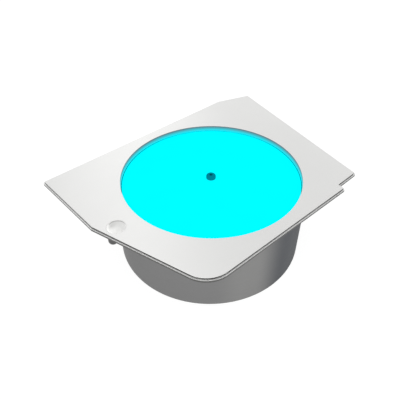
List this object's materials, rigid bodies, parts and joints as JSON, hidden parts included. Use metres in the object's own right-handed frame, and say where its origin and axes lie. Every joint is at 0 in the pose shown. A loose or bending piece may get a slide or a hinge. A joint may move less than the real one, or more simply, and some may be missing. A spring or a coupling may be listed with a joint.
{
  "type": "underwater pool light",
  "caption": "Flush underwater pool light: polygonal steel face plate over a round niche, with a recessed cyan lens held by one central screw, with a lifting cup near one edge.",
  "frame": {"origin": "where the lens axis meets the niche can's outer bottom face", "axes": "+Z out of the wall along the lens axis, +X along the face plate's long straight edges towards the pointed side, +Y towards the chamfered long edge"},
  "size_m": [0.28, 0.2087, 0.0854],
  "materials": {
    "niche_can": "satin 316 stainless",
    "mounting_plate": "satin 316 stainless",
    "wall_gasket": "black EPDM",
    "centre_boss": "turned 316 stainless",
    "support_posts": "turned 316 stainless",
    "support_pads": "black EPDM",
    "entry_boss": "turned 316 stainless",
    "gland_washer": "black EPDM",
    "gland_locknut": "nickel-plated brass",
    "gland_body": "nickel-plated brass",
    "gland_seal": "black EPDM",
    "gland_nut": "nickel-plated brass",
    "bonding_lug": "bare brass",
    "bonding_screw": "stainless",
    "face_plate": "fine satin 316 stainless",
    "lift_cup": "fine satin 316 stainless",
    "face_gasket": "black EPDM",
    "spring_clips": "spring stainless",
    "lamp_housing": "white ABS",
    "centre_sleeve": "white ABS",
    "sleeve_seal": "black EPDM",
    "lens_seal": "black EPDM",
    "heat_spreader": "milled",
    "led_board": "white solder mask",
    "leds": "LED package",
    "led_domes": "clear silicone dome",
    "board_screws": "zinc-plated",
    "diffuser_spacers": "white nylon",
    "diffuser": "opal polycarbonate",
    "driver_pcb": "green solder mask",
    "driver_standoffs": "brass",
    "driver_screws": "zinc-plated",
    "driver_capacitors": "black sleeve",
    "driver_coil": "enamelled copper",
    "driver_chips": "black epoxy",
    "terminal_block": "green polyamide",
    "lamp_gland_body": "black polyamide",
    "lamp_gland_nut": "black polyamide",
    "lamp_gland_seal": "black EPDM",
    "lens": "cyan polycarbonate, lit",
    "screw_washer": "black EPDM",
    "centre_screw": "stainless"
  },
  "bodies": {
    "niche": {"niche_can": "niche_can", "mounting_plate": "mounting_plate", "wall_gasket": "wall_gasket", "centre_boss": "centre_boss", "support_posts": "support_posts", "support_pads": "support_pads", "entry_boss": "entry_boss", "gland_washer": "gland_washer", "gland_locknut": "gland_locknut", "gland_body": "gland_body", "gland_seal": "gland_seal", "gland_nut": "gland_nut", "bonding_lug": "bonding_lug", "bonding_screw": "bonding_screw"},
    "face": {"face_plate": "face_plate", "lift_cup": "lift_cup", "face_gasket": "face_gasket", "spring_clips": "spring_clips"},
    "lamp": {"lamp_housing": "lamp_housing", "centre_sleeve": "centre_sleeve", "sleeve_seal": "sleeve_seal", "lens_seal": "lens_seal", "heat_spreader": "heat_spreader", "led_board": "led_board", "leds": "leds", "led_domes": "led_domes", "board_screws": "board_screws", "diffuser_spacers": "diffuser_spacers", "diffuser": "diffuser", "driver_pcb": "driver_pcb", "driver_standoffs": "driver_standoffs", "driver_screws": "driver_screws", "driver_capacitors": "driver_capacitors", "driver_coil": "driver_coil", "driver_chips": "driver_chips", "terminal_block": "terminal_block", "lamp_gland_body": "lamp_gland_body", "lamp_gland_nut": "lamp_gland_nut", "lamp_gland_seal": "lamp_gland_seal"},
    "lens": {"lens": "lens"},
    "screw_carrier": {"screw_washer": "screw_washer"},
    "screw": {"centre_screw": "centre_screw"}
  },
  "joints": [
    {"name": "face_lift", "type": "slide", "parent": "niche", "child": "face", "axis": [0, 0, 1], "range_m": [0, 0.06]},
    {"name": "lamp_lift", "type": "slide", "parent": "niche", "child": "lamp", "axis": [0, 0, 1], "range_m": [0, 0.11]},
    {"name": "lens_lift", "type": "slide", "parent": "lamp", "child": "lens", "axis": [0, 0, 1], "range_m": [0, 0.04]},
    {"name": "screw_rise", "type": "slide", "parent": "lens", "child": "screw_carrier", "axis": [0, 0, 1], "range_m": [0, 0.0115]},
    {"name": "screw_turn", "type": "hinge", "parent": "screw_carrier", "child": "screw", "pos_m": [0, 0, 0.0799], "axis": [0, 0, 1], "range_deg": [0, 5220]}
  ],
  "couplings": [
    {"joint": "screw_turn", "follows": "screw_rise", "rad_per_m": 7854}
  ]
}
